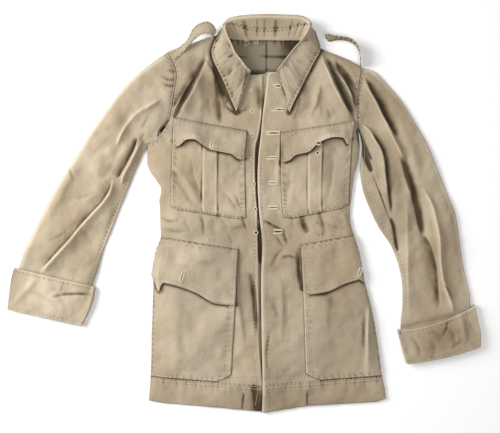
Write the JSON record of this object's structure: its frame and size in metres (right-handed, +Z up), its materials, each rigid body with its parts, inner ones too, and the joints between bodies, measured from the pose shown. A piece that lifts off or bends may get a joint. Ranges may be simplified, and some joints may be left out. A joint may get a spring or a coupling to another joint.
{
  "type": "canvas bush jacket laid flat",
  "caption": "Long-sleeved drill bush jacket lying flat on its back, unbuttoned, with a pointed collar, four flap pockets, shoulder straps and turned-up cuffs",
  "frame": {"origin": "centre of the bounding box on the surface the jacket lies on", "axes": "+X to the wearer's left, +Y towards the collar, +Z up from the surface"},
  "size_m": [0.9447, 0.7927, 0.0354],
  "materials": {
    "drill": "washed cotton drill, matt, faded khaki",
    "drill_inside": "inside of the cotton drill, matt, greyer khaki",
    "collar_drill": "doubled and top-stitched cotton drill, matt, pale khaki"
  },
  "bodies": {
    "root": {"back_right": "drill_inside", "back_left": "drill_inside", "front_right": "drill", "front_left": "drill", "sleeve_right": "drill", "sleeve_left": "drill", "cuff_right": "drill", "cuff_left": "drill", "breast_pocket_right": "drill", "breast_pocket_left": "drill", "hip_pocket_right": "drill", "hip_pocket_left": "drill", "breast_flap_right": "drill", "breast_flap_left": "drill", "hip_flap_right": "drill", "hip_flap_left": "drill", "collar": "collar_drill", "shoulder_strap_right": "collar_drill", "shoulder_strap_left": "collar_drill"}
  },
  "joints": []
}
